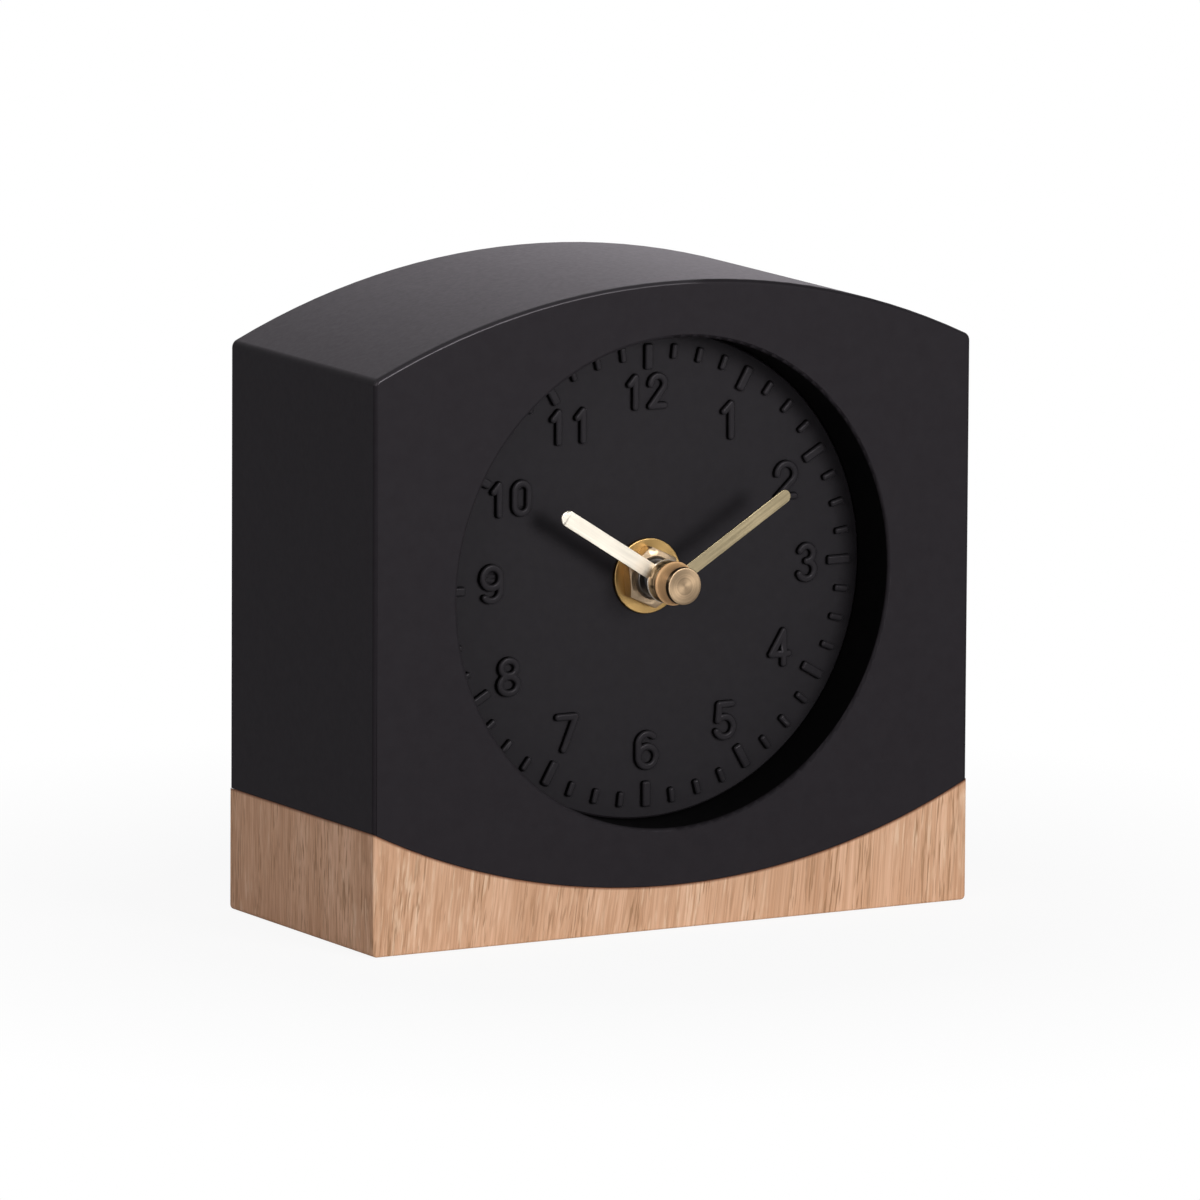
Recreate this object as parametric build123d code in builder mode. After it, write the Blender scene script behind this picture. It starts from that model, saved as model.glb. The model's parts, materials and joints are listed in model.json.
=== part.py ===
from build123d import *
import os
from math import atan2, cos, pi, radians, sin, sqrt

# Desk clock with an arched black case on an oak base, in millimetres.
# The origin is on the table under the middle of the case, +Z is up and the dial faces -Y.
os.makedirs("parts", exist_ok=True)

# Case and base, seen from the front
case_width = 125.0
case_depth = 55.0
case_height = 120.0
crown_rise = 14.2
seam_rise = 14.6
seam_side_height = 23.0
seam_gap = 0.1
crown_corner_radius = 1.6
foot_corner_radius = 0.9
edge_radius = 0.8
base_edge_radius = 0.4

# Recess for the dial and pocket for the movement
recess_radius = 45.3
recess_depth = 10.6
recess_edge_radius = 0.6
web_thickness = 4.0
pocket_size = 66.0
pocket_corner_radius = 6.0
pocket_edge_radius = 0.8

# Base fixing and foot pad
dowel_diameter = 6.0
dowel_length = 19.0
dowel_spacing = 88.0
dowel_chamfer = 0.6
screw_diameter = 3.5
screw_head_diameter = 7.0
screw_length = 24.0
screw_spacing = 50.0
screw_slot = 0.8
screw_edge = 0.4
joint_clearance = 0.1
end_clearance = 0.5
web_hole_clearance = 0.3
pad_length = 112.0
pad_width = 42.0
pad_thickness = 1.0
pad_show = 0.2
pad_corner_radius = 4.0

# Dial
dial_thickness = 2.0
dial_clearance = 0.15
dial_edge_chamfer = 0.35
relief_height = 1.0
relief_round = 0.42
relief_root = 0.3
tick_corner_radius = 0.45
tick_outer_radius = 42.95
hour_tick_length = 4.85
hour_tick_width = 1.75
short_tick_length = 2.9
short_tick_width = 1.25
short_ticks_between = 3
numeral_stroke = 1.35
numeral_height = 7.45
numeral_width = 5.1
pair_digit_height = 6.9
pair_digit_width = 4.3
pair_digit_spacing = 5.1

# Stack on the dial's axis, as distances in front of the dial
washer_thickness = 0.8
washer_diameter = 14.0
nut_thickness = 2.4
nut_across_flats = 10.0
nut_turn = 95.0
nut_chamfer = 0.9
bush_diameter = 8.0
bush_bore = 5.2
bush_end = 3.9
bush_chamfer = 0.4
bush_flange_diameter = 10.0
bush_flange_thickness = 0.7
pipe_diameter = 5.0
pipe_end = 9.2
arbor_diameter = 3.0
arbor_shoulder = 0.3
hour_blade_start = 7.2
hand_thickness = 0.4
hour_boss_end = 9.5
hour_boss_diameter = 7.8
hand_disc_diameter = 8.0
minute_blade_start = 9.8
cap_flange_diameter = 8.1
cap_flange_thickness = 0.7
cap_neck_diameter = 6.3
cap_button_diameter = 6.9
cap_button_thickness = 1.1
cap_end = 14.3
cap_chamfer = 0.15
arbor_tip_diameter = 2.2
arbor_tip_end = 12.6
running_clearance = 0.05
fit_clearance = 0.02
hour_hand_length = 25.8
hour_hand_width = 2.9
minute_hand_length = 28.6
minute_hand_width = 2.5
minute_hand_angle = 58.5
hour_hand_angle = 302.4

# Movement
gasket_thickness = 0.8
gasket_diameter = 26.0
movement_size = 56.0
movement_depth = 16.0
movement_wall = 1.5
movement_corner_radius = 3.0
bay_top = -10.5
train_floor = -8.5
lid_rim_height = 1.0
lid_rim_thickness = 1.0
cell_diameter = 14.2
cell_length = 50.5
cell_nub_diameter = 5.4
cell_nub_length = 1.2
cell_height = -18.5
cell_gap = 0.3
contact_thickness = 0.4
knob_diameter = 12.0
knob_height = 4.2
knob_flutes = 20
knob_flute_diameter = 1.1
knob_gap = 0.5
set_arbor_diameter = 2.0
pivot_radius = 0.4
post_radius = 0.7
boss_radius = 1.3
pivot_depth = 1.2
bearing_gap = 0.4

# Wheels: tooth counts, tooth sizes and thickness
motion_module = 0.25
hour_module = 0.24
train_module = 0.2
cannon_teeth = 12
minute_wheel_teeth = 36
minute_pinion_teeth = 10
hour_wheel_teeth = 40
set_teeth = 18
rotor_teeth = 10
intermediate_teeth = 50
intermediate_leaves = 10
second_teeth = 60
second_leaves = 8
third_teeth = 60
third_leaves = 8
centre_teeth = 64
wheel_thickness = 0.6
tooth_top = 0.8
tooth_root = 1.15

# Motor and electronics
magnet_diameter = 6.0
magnet_thickness = 2.0
stator_bore = 7.0
stator_thickness = 0.8
stator_slit = 0.5
core_width = 2.0
bobbin_size = 5.8
winding_diameter = 5.4
bobbin_flange = 0.7
board_thickness = 1.0
crystal_diameter = 2.0
crystal_length = 6.0
chip_size = 4.0
chip_thickness = 1.0

# Heights that follow from the sizes above
base_bottom = pad_show
seam_low_height = seam_side_height - seam_rise
side_height = case_height - crown_rise
dial_height = (case_height + seam_low_height) / 2
seam_radius = (seam_rise ** 2 + (case_width / 2) ** 2) / (2 * seam_rise)

# Depth stations, front to back
front_y = -case_depth / 2
back_y = case_depth / 2
dial_y = front_y + recess_depth
web_front_y = dial_y + dial_thickness
web_back_y = web_front_y + web_thickness
movement_front_y = web_back_y + gasket_thickness
movement_back_y = movement_front_y + movement_depth
floor_y = movement_front_y + movement_wall
lid_y = movement_back_y - movement_wall
motion_y = floor_y + 0.2
cannon_y = motion_y + 1.4
centre_y = cannon_y + 2.0
third_y = centre_y + 1.6
second_y = third_y + 1.6
intermediate_y = second_y + 1.6
magnet_y = intermediate_y + 1.4
stator_y = magnet_y + 0.4
rear_bearing_y = lid_y - 0.9
board_y = lid_y - 0.9 - board_thickness

# Where the wheels stand, from the dial's axis as (right, up)
centre_spot = (0.0, 0.0)
minute_wheel_reach = (cannon_teeth + minute_wheel_teeth) * motion_module / 2
minute_wheel_spot = (-minute_wheel_reach, 0.0)
set_direction = radians(127)
third_direction = radians(60)
second_direction = radians(80)
intermediate_direction = radians(150)
rotor_direction = radians(180)


def step_to(spot, teeth_a, teeth_b, module, direction):
    # The place of a wheel that meshes with the one at spot
    reach = (teeth_a + teeth_b) * module / 2
    return (spot[0] + reach * cos(direction), spot[1] + reach * sin(direction))


set_spot = step_to(minute_wheel_spot, minute_wheel_teeth, set_teeth, motion_module, set_direction)
third_spot = step_to(centre_spot, centre_teeth, third_leaves, train_module, third_direction)
second_spot = step_to(third_spot, third_teeth, second_leaves, train_module, second_direction)
intermediate_spot = step_to(
    second_spot, second_teeth, intermediate_leaves, train_module, intermediate_direction
)
rotor_spot = step_to(
    intermediate_spot, intermediate_teeth, rotor_teeth, train_module, rotor_direction
)


def facing(y, spot=(0.0, 0.0)):
    # A plane across the dial's axis at depth y that faces the front
    return Plane(origin=(spot[0], y, dial_height + spot[1]), x_dir=(1, 0, 0), z_dir=(0, -1, 0))


def disc(front, rear, radius, spot=(0.0, 0.0), mode=Mode.ADD):
    # A round piece along the dial's axis between two depths
    place = (spot[0], (front + rear) / 2, dial_height + spot[1])
    with Locations(Location(place, (90, 0, 0))):
        Cylinder(radius, rear - front, mode=mode)


def block(x_span, y_span, z_span, mode=Mode.ADD):
    # A box between two values on each axis, with heights from the dial's axis
    place = (sum(x_span) / 2, sum(y_span) / 2, dial_height + sum(z_span) / 2)
    with Locations(place):
        Box(x_span[1] - x_span[0], y_span[1] - y_span[0], z_span[1] - z_span[0], mode=mode)


def gear_face(teeth, module, turn, spot, y):
    # The outline of a toothed wheel with slim straight-sided teeth
    pitch_radius = teeth * module / 2
    root = pitch_radius - tooth_root * module
    top = pitch_radius + tooth_top * module
    corners = [
        (root, -0.23),
        (pitch_radius, -0.165),
        (top, -0.08),
        (top, 0.08),
        (pitch_radius, 0.165),
        (root, 0.23),
    ]
    points = []
    for tooth in range(teeth):
        for radius, shift in corners:
            angle = turn + (tooth + shift) * 2 * pi / teeth
            points.append((radius * cos(angle), radius * sin(angle)))
    with BuildSketch(facing(y, spot)) as face:
        with BuildLine():
            Polyline(*points, close=True)
        make_face()
    return face.sketch


def mesh_turn(turn_a, teeth_a, spot_a, teeth_b, spot_b):
    # The turn that puts a tooth of one wheel into a gap of the other
    direction = atan2(spot_b[1] - spot_a[1], spot_b[0] - spot_a[0])
    phase = (direction - turn_a) * teeth_a / (2 * pi)
    return direction + pi - (0.5 - phase) * 2 * pi / teeth_b


def seam_height(x):
    # Height of the curved seam at a distance from the middle
    return seam_low_height + seam_radius - sqrt(seam_radius ** 2 - x ** 2)


# Case and base share one outline and are parted along the seam
half_width = case_width / 2
with BuildSketch() as case_outline:
    with BuildLine():
        ThreePointArc((-half_width, side_height), (0, case_height), (half_width, side_height))
        Line((half_width, side_height), (half_width, seam_side_height))
        ThreePointArc((half_width, seam_side_height), (0, seam_low_height), (-half_width, seam_side_height))
        Line((-half_width, seam_side_height), (-half_width, side_height))
    make_face()
    fillet(case_outline.vertices().group_by(Axis.Y)[-1], crown_corner_radius)

base_top = seam_side_height - seam_gap
with BuildSketch() as base_outline:
    with BuildLine():
        Line((-half_width, base_top), (-half_width, base_bottom))
        Line((-half_width, base_bottom), (half_width, base_bottom))
        Line((half_width, base_bottom), (half_width, base_top))
        ThreePointArc((half_width, base_top), (0, base_top - seam_rise), (-half_width, base_top))
    make_face()
    fillet(base_outline.vertices().group_by(Axis.Y)[0], foot_corner_radius)

dowel_low = seam_height(dowel_spacing / 2) - dowel_length / 2
dowel_spots = [(-dowel_spacing / 2, 0, dowel_low), (dowel_spacing / 2, 0, dowel_low)]
screw_low = pad_thickness + 0.6
screw_spots = [(-screw_spacing / 2, 0, screw_low), (screw_spacing / 2, 0, screw_low)]
screw_head_height = (screw_head_diameter - screw_diameter) / 2
rear_plane = Plane.XZ.offset(-back_y)


def upright(radius, bottom, top, mode=Mode.ADD):
    # A standing cylinder from bottom to top, at each active place
    with Locations((0, 0, bottom)):
        Cylinder(radius, top - bottom, align=(Align.CENTER, Align.CENTER, Align.MIN), mode=mode)


def countersunk(spread, below, length, mode=Mode.ADD):
    # A countersunk screw, or with spread its hole, at each active place
    head_radius = screw_head_diameter / 2 + spread
    shank_radius = screw_diameter / 2 + spread
    upright(shank_radius, -below, length, mode)
    upright(head_radius, -below, screw_edge, mode)
    with Locations((0, 0, screw_edge)):
        Cone(
            head_radius,
            shank_radius,
            screw_head_height,
            align=(Align.CENTER, Align.CENTER, Align.MIN),
            mode=mode,
        )


def off_the_seam(edge):
    # True for the base's outer edges, and not for the curved ones under the case
    middle = edge.center()
    return middle.Z < foot_corner_radius or abs(middle.X) > half_width / 2


with BuildPart() as case_body:
    with BuildSketch(rear_plane):
        add(case_outline.sketch)
    extrude(amount=case_depth)
    rim = case_body.faces().sort_by(Axis.Y)[0].edges() + case_body.faces().sort_by(Axis.Y)[-1].edges()
    fillet(rim.filter_by(lambda edge: edge.center().Z > seam_side_height), edge_radius)
    disc(front_y, web_front_y, recess_radius, mode=Mode.SUBTRACT)
    disc(web_front_y, web_back_y, bush_diameter / 2 + web_hole_clearance, mode=Mode.SUBTRACT)
    with BuildSketch(facing(back_y)):
        RectangleRounded(pocket_size, pocket_size, pocket_corner_radius)
    extrude(amount=back_y - web_back_y, mode=Mode.SUBTRACT)
    fillet(case_body.faces().sort_by(Axis.Y)[0].inner_wires()[0].edges(), recess_edge_radius)
    fillet(case_body.faces().sort_by(Axis.Y)[-1].inner_wires()[0].edges(), pocket_edge_radius)
    with Locations(dowel_spots):
        upright(dowel_diameter / 2 + joint_clearance, 0, dowel_length + end_clearance, Mode.SUBTRACT)
    with Locations(screw_spots):
        upright(screw_diameter / 2 + joint_clearance, 0, screw_length + end_clearance, Mode.SUBTRACT)

with BuildPart() as oak_base:
    with BuildSketch(rear_plane):
        add(base_outline.sketch)
    extrude(amount=case_depth)
    rim = oak_base.faces().sort_by(Axis.Y)[0].edges() + oak_base.faces().sort_by(Axis.Y)[-1].edges()
    fillet(rim.filter_by(off_the_seam), base_edge_radius)
    with BuildSketch(Plane.XY.offset(base_bottom)):
        RectangleRounded(
            pad_length + 2 * joint_clearance,
            pad_width + 2 * joint_clearance,
            pad_corner_radius + joint_clearance,
        )
    extrude(amount=pad_thickness - base_bottom, mode=Mode.SUBTRACT)
    with Locations(dowel_spots):
        upright(dowel_diameter / 2 + joint_clearance, -end_clearance, dowel_length, Mode.SUBTRACT)
    with Locations(screw_spots):
        countersunk(joint_clearance, screw_low - base_bottom, screw_length, Mode.SUBTRACT)

with BuildPart() as base_dowels:
    with Locations(dowel_spots):
        upright(dowel_diameter / 2, 0, dowel_length)
    chamfer(base_dowels.edges().filter_by(GeomType.CIRCLE), dowel_chamfer)

with BuildPart() as base_screws:
    with Locations(screw_spots):
        countersunk(0, 0, screw_length)
        for turn in (0, 90):
            Box(
                screw_head_diameter / 2,
                screw_slot,
                2 * screw_slot,
                rotation=(0, 0, turn),
                mode=Mode.SUBTRACT,
            )
    chamfer(base_screws.edges().filter_by(GeomType.CIRCLE).group_by(Axis.Z)[-1], screw_diameter / 4)

with BuildPart() as non_slip_pad:
    with BuildSketch():
        RectangleRounded(pad_length, pad_width, pad_corner_radius)
    extrude(amount=pad_thickness)

# Digits are drawn as centre lines of one pen, in a box of a given width and height


def stroke(*edges):
    # One pen stroke along joined edges, with round ends
    outline = Wire(edges).offset_2d(numeral_stroke / 2, kind=Kind.ARC, side=Side.BOTH)
    add(make_face(outline.edges(), mode=Mode.PRIVATE))


def ring(radius, height):
    # One closed round pen stroke
    with Locations((0, height)):
        Circle(radius + numeral_stroke / 2)
        Circle(radius - numeral_stroke / 2, mode=Mode.SUBTRACT)


def oval(reach_x, reach_z, height):
    # One closed oval pen stroke
    with Locations((0, height)):
        Ellipse(reach_x + numeral_stroke / 2, reach_z + numeral_stroke / 2)
        Ellipse(reach_x - numeral_stroke / 2, reach_z - numeral_stroke / 2, mode=Mode.SUBTRACT)


def line(*points):
    # Straight edges from point to point
    return [Edge.make_line(start, finish) for start, finish in zip(points, points[1:])]


def bow(start, through, finish):
    # A curved edge through three points
    return Edge.make_three_point_arc(start, through, finish)


def figure(digit, width, height):
    # The face of one digit: x and z are the reach of its centre line, bend is where its round ends start
    x = (width - numeral_stroke) / 2
    z = (height - numeral_stroke) / 2
    bend = z - x
    small = 0.46 * z
    large = z - small
    waist = z - 2 * small
    shoulder = (0.82 * x, bend - 0.57 * x)
    throat = (-0.755 * x, 0.656 * x - bend)
    with BuildSketch() as face:
        if digit == 0:
            SlotCenterToCenter(2 * bend, 2 * x + numeral_stroke, rotation=90)
            SlotCenterToCenter(2 * bend, 2 * x - numeral_stroke, rotation=90, mode=Mode.SUBTRACT)
        elif digit == 1:
            stroke(*line((-0.5 * x, 0.55 * z), (0.3 * x, z), (0.3 * x, -z)))
        elif digit == 2:
            stroke(bow((-x, bend), (0, z), shoulder), *line(shoulder, (-x, -z), (x, -z)))
        elif digit == 3:
            stroke(bow((-0.95 * small, waist + 1.4 * small), (small, waist + small), (0, waist)))
            stroke(bow((-0.93 * large, waist - 1.4 * large), (large, waist - large), (0, waist)))
        elif digit == 4:
            stroke(*line((0.4 * x, z), (-x, -0.4 * z), (x, -0.4 * z)))
            stroke(*line((0.4 * x, z), (0.4 * x, -z)))
        elif digit == 5:
            stroke(
                *line((0.85 * x, z), (-0.62 * x, z), throat),
                bow(throat, (x, -bend), (-0.906 * x, -bend - 0.423 * x)),
            )
        elif digit == 7:
            stroke(*line((-x, z), (x, z), (-0.35 * x, -z)))
        elif digit == 8:
            oval(0.86 * x, small, z - small)
            oval(x, large - numeral_stroke / 20, large - numeral_stroke / 20 - z)
        else:
            SlotCenterToCenter(2 * bend, 2 * x + numeral_stroke, rotation=90)
            SlotCenterToCenter(2 * bend, 2 * x - numeral_stroke, rotation=90, mode=Mode.SUBTRACT)
            with Locations((x, bend - 0.3 * x)):
                Rectangle(2 * x, 1.3 * x, mode=Mode.SUBTRACT)
            fillet(face.vertices().filter_by(lambda tip: tip.X > 0 and tip.Y > bend), 0.45 * numeral_stroke)
            ring(x, -bend)
    if digit == 9:
        return face.sketch.rotate(Axis.Z, 180)
    return face.sketch


# Numeral centres around the dial, as (right, up) from its axis
numeral_spots = {
    1: (16.9, 27.6),
    2: (29.2, 15.6),
    3: (33.7, -0.05),
    4: (28.2, -15.5),
    5: (16.5, -28.2),
    6: (0.1, -32.4),
    7: (-16.8, -27.9),
    8: (-29.0, -16.5),
    9: (-32.7, 0.9),
    10: (-29.05, 16.3),
    11: (-16.7, 28.75),
    12: (-0.65, 34.1),
}
digit_sizes = {1: (numeral_width, numeral_height), 2: (pair_digit_width, pair_digit_height)}
digit_places = {}
for hour, (x, z) in numeral_spots.items():
    letters = str(hour)
    for place, letter in enumerate(letters):
        shift = (place - (len(letters) - 1) / 2) * pair_digit_spacing
        digit_places.setdefault((int(letter), len(letters)), []).append((x + shift, z))


def raised(face):
    # A raised figure with a rounded top, rooted in the dial
    with BuildPart() as figure:
        with BuildSketch(Plane.XY.offset(-relief_root)):
            add(face)
        extrude(amount=relief_height + relief_root)
        fillet(figure.faces().sort_by(Axis.Z)[-1].edges(), relief_round)
    return figure.part


with BuildSketch() as hour_tick:
    RectangleRounded(hour_tick_length, hour_tick_width, tick_corner_radius)

with BuildSketch() as short_tick:
    RectangleRounded(short_tick_length, short_tick_width, tick_corner_radius)

raised_digits = {key: raised(figure(key[0], *digit_sizes[key[1]])) for key in digit_places}
raised_hour_tick = raised(hour_tick.sketch)
raised_short_tick = raised(short_tick.sketch)
tick_step = 30 / (short_ticks_between + 1)

with BuildPart() as dial_plate:
    disc(dial_y, web_front_y, recess_radius - dial_clearance)
    chamfer(dial_plate.faces().sort_by(Axis.Y)[0].edges(), dial_edge_chamfer)
    disc(dial_y, web_front_y, bush_diameter / 2 + joint_clearance, mode=Mode.SUBTRACT)
    with Locations(facing(dial_y).location):
        for key, places in digit_places.items():
            with Locations(*places):
                add(raised_digits[key])
        with PolarLocations(tick_outer_radius - hour_tick_length / 2, 12):
            add(raised_hour_tick)
        for step in range(1, short_ticks_between + 1):
            with PolarLocations(tick_outer_radius - short_tick_length / 2, 12, tick_step * step):
                add(raised_short_tick)


def turned(points, spot=(0.0, 0.0)):
    # A turned solid from corners given as (depth, radius)
    plane = Plane(origin=(spot[0], 0, dial_height + spot[1]), x_dir=(0, 1, 0), z_dir=(1, 0, 0))
    with BuildPart() as solid:
        with BuildSketch(plane):
            with BuildLine():
                Polyline(*points, close=True)
            make_face()
        revolve(axis=Axis(plane.origin, (0, 1, 0)))
    return solid.part


def ahead(distance):
    # Depth of a plane at a distance in front of the dial
    return dial_y - distance


def blade(length, width, angle, start):
    # A straight hand with a round end and a round eye, pointing at angle from twelve o'clock
    run = length - width / 2
    turn = 90 - angle
    middle = (run / 2 * cos(radians(turn)), run / 2 * sin(radians(turn)))
    with BuildSketch(facing(ahead(start))) as face:
        Circle(hand_disc_diameter / 2)
        with Locations(middle):
            SlotCenterToCenter(run, width, rotation=turn)
    return face.sketch


nut_front = washer_thickness + nut_thickness
nut_corner = nut_across_flats / sqrt(3)
bush_radius = bush_diameter / 2
pipe_radius = pipe_diameter / 2
arbor_radius = arbor_diameter / 2
eye_radius = arbor_radius - arbor_shoulder
tip_radius = arbor_tip_diameter / 2
minute_blade_end = minute_blade_start + hand_thickness

with BuildPart() as dial_washer:
    disc(ahead(washer_thickness), dial_y, washer_diameter / 2)
    fillet(dial_washer.faces().sort_by(Axis.Y)[0].edges(), washer_thickness / 4)
    disc(ahead(washer_thickness), dial_y, bush_radius + joint_clearance, mode=Mode.SUBTRACT)

with BuildPart() as dial_nut:
    with BuildSketch(facing(ahead(washer_thickness))):
        RegularPolygon(nut_across_flats / 2, 6, major_radius=False, rotation=nut_turn)
    extrude(amount=nut_thickness)
    nut_profile = [
        (ahead(washer_thickness), 0),
        (ahead(washer_thickness), nut_corner),
        (ahead(nut_front - nut_chamfer / 2), nut_corner),
        (ahead(nut_front), nut_corner - nut_chamfer),
        (ahead(nut_front), 0),
    ]
    add(turned(nut_profile), mode=Mode.INTERSECT)
    disc(ahead(nut_front), ahead(washer_thickness), bush_radius + running_clearance, mode=Mode.SUBTRACT)

with BuildPart() as threaded_bush:
    bush_profile = [
        (floor_y, bush_bore / 2),
        (floor_y, bush_flange_diameter / 2),
        (floor_y - bush_flange_thickness, bush_flange_diameter / 2),
        (floor_y - bush_flange_thickness, bush_radius),
        (ahead(bush_end - bush_chamfer), bush_radius),
        (ahead(bush_end), bush_radius - bush_chamfer),
        (ahead(bush_end), bush_bore / 2),
    ]
    add(turned(bush_profile))

with BuildPart() as rubber_gasket:
    disc(web_back_y, movement_front_y, gasket_diameter / 2)
    disc(web_back_y, movement_front_y, bush_radius + web_hole_clearance, mode=Mode.SUBTRACT)

with BuildPart() as hour_hand:
    extrude(
        blade(hour_hand_length, hour_hand_width, hour_hand_angle, hour_blade_start),
        amount=hand_thickness,
    )
    disc(ahead(hour_boss_end), ahead(hour_blade_start + hand_thickness / 2), hour_boss_diameter / 2)
    chamfer(hour_hand.faces().sort_by(Axis.Y)[0].edges(), hand_thickness / 2)
    disc(ahead(hour_boss_end), ahead(hour_blade_start), pipe_radius + fit_clearance, mode=Mode.SUBTRACT)

with BuildPart() as minute_hand:
    extrude(
        blade(minute_hand_length, minute_hand_width, minute_hand_angle, minute_blade_start),
        amount=hand_thickness,
    )
    disc(ahead(minute_blade_end), ahead(minute_blade_start), eye_radius + fit_clearance, mode=Mode.SUBTRACT)

cap_shoulder = minute_blade_end + cap_flange_thickness
cap_neck_end = cap_end - cap_button_thickness
cap_profile = [
    (ahead(minute_blade_end), tip_radius + running_clearance),
    (ahead(minute_blade_end), cap_flange_diameter / 2),
    (ahead(cap_shoulder), cap_flange_diameter / 2),
    (ahead(cap_shoulder), cap_button_diameter / 2),
    (ahead(cap_neck_end), cap_neck_diameter / 2),
    (ahead(cap_neck_end), cap_button_diameter / 2),
    (ahead(cap_end - cap_chamfer), cap_button_diameter / 2),
    (ahead(cap_end), cap_button_diameter / 2 - cap_chamfer),
    (ahead(cap_end), 0),
    (ahead(arbor_tip_end + end_clearance / 2), 0),
    (ahead(arbor_tip_end + end_clearance / 2), tip_radius + running_clearance),
]
with BuildPart() as hand_cap:
    add(turned(cap_profile))

# Turns that make the teeth of each pair interleave
minute_wheel_turn = mesh_turn(0, cannon_teeth, centre_spot, minute_wheel_teeth, minute_wheel_spot)
minute_pinion_turn = mesh_turn(0, hour_wheel_teeth, centre_spot, minute_pinion_teeth, minute_wheel_spot)
set_turn = mesh_turn(minute_wheel_turn, minute_wheel_teeth, minute_wheel_spot, set_teeth, set_spot)
third_turn = mesh_turn(0, centre_teeth, centre_spot, third_leaves, third_spot)
second_turn = mesh_turn(0, third_teeth, third_spot, second_leaves, second_spot)
intermediate_turn = mesh_turn(0, second_teeth, second_spot, intermediate_leaves, intermediate_spot)
rotor_turn = mesh_turn(0, intermediate_teeth, intermediate_spot, rotor_teeth, rotor_spot)

# Where the front bearings end, and how deep the pivots sit in them
set_bearing_y = cannon_y - bearing_gap
third_bearing_y = centre_y - bearing_gap
second_bearing_y = third_y - bearing_gap
intermediate_bearing_y = second_y - bearing_gap
rotor_bearing_y = intermediate_y - 2 * bearing_gap
pivot_end_y = lid_y + pivot_depth / 3
pivot_hole_radius = pivot_radius + running_clearance
centre_pivot_radius = 1.75 * pivot_radius
hour_wheel_depth = 1.0
motion_wheel_depth = 1.2


def toothed(teeth, module, turn, spot, front, rear):
    # A toothed wheel or pinion between two depths
    extrude(gear_face(teeth, module, turn, spot, rear), amount=rear - front)


def train_wheel(spot, teeth, wheel_y, leaves, turn, pinion_y, bearing_y):
    # A wheel with the pinion in front of it on one arbor
    with BuildPart() as wheel:
        toothed(teeth, train_module, 0, spot, wheel_y, wheel_y + wheel_thickness)
        toothed(leaves, train_module, turn, spot, pinion_y - 0.1, wheel_y)
        disc(bearing_y - pivot_depth, pivot_end_y, pivot_radius, spot)
    return wheel


with BuildPart() as hour_wheel:
    toothed(hour_wheel_teeth, hour_module, 0, centre_spot, motion_y, motion_y + hour_wheel_depth)
    disc(ahead(pipe_end), motion_y, pipe_radius)
    disc(ahead(pipe_end), motion_y + hour_wheel_depth, arbor_radius + running_clearance, mode=Mode.SUBTRACT)

with BuildPart() as minute_arbor:
    arbor_profile = [
        (ahead(arbor_tip_end), 0),
        (ahead(arbor_tip_end), tip_radius),
        (ahead(minute_blade_end), tip_radius),
        (ahead(minute_blade_end), eye_radius),
        (ahead(minute_blade_start), eye_radius),
        (ahead(minute_blade_start), arbor_radius),
        (cannon_y, arbor_radius),
        (cannon_y, eye_radius),
        (centre_y + wheel_thickness + bearing_gap / 2, eye_radius),
        (centre_y + wheel_thickness + bearing_gap / 2, arbor_radius + 0.3),
        (centre_y + wheel_thickness + 1.5 * bearing_gap, arbor_radius + 0.3),
        (centre_y + wheel_thickness + 1.5 * bearing_gap, centre_pivot_radius),
        (pivot_end_y, centre_pivot_radius),
        (pivot_end_y, 0),
    ]
    add(turned(arbor_profile))
    toothed(cannon_teeth, motion_module, 0, centre_spot, cannon_y, cannon_y + motion_wheel_depth)

with BuildPart() as centre_wheel:
    toothed(centre_teeth, train_module, 0, centre_spot, centre_y, centre_y + wheel_thickness)
    disc(centre_y, centre_y + wheel_thickness, eye_radius + running_clearance, mode=Mode.SUBTRACT)

with BuildPart() as minute_wheel:
    toothed(
        minute_wheel_teeth,
        motion_module,
        minute_wheel_turn,
        minute_wheel_spot,
        cannon_y,
        cannon_y + motion_wheel_depth,
    )
    toothed(minute_pinion_teeth, hour_module, minute_pinion_turn, minute_wheel_spot, motion_y, cannon_y)
    disc(
        motion_y,
        cannon_y + motion_wheel_depth,
        post_radius + running_clearance,
        minute_wheel_spot,
        mode=Mode.SUBTRACT,
    )

knob_front_y = movement_back_y + knob_gap
knob_back_y = knob_front_y + knob_height
set_arbor_end_y = knob_front_y + 0.6 * knob_height

with BuildPart() as set_arbor:
    toothed(set_teeth, motion_module, set_turn, set_spot, cannon_y, cannon_y + motion_wheel_depth)
    disc(cannon_y + motion_wheel_depth, set_arbor_end_y, set_arbor_diameter / 2, set_spot)
    disc(set_bearing_y - 2 * bearing_gap, cannon_y, pivot_radius, set_spot)

with BuildPart() as set_knob:
    disc(knob_front_y, knob_back_y, knob_diameter / 2, set_spot)
    chamfer(set_knob.faces().sort_by(Axis.Y)[-1].edges(), knob_flute_diameter / 2)
    with Locations(facing(knob_back_y, set_spot).location):
        with PolarLocations(knob_diameter / 2, knob_flutes):
            Cylinder(knob_flute_diameter / 2, 3 * knob_height, mode=Mode.SUBTRACT)
    knob_bore_radius = set_arbor_diameter / 2 + fit_clearance
    disc(knob_front_y, set_arbor_end_y, knob_bore_radius, set_spot, mode=Mode.SUBTRACT)

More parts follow.
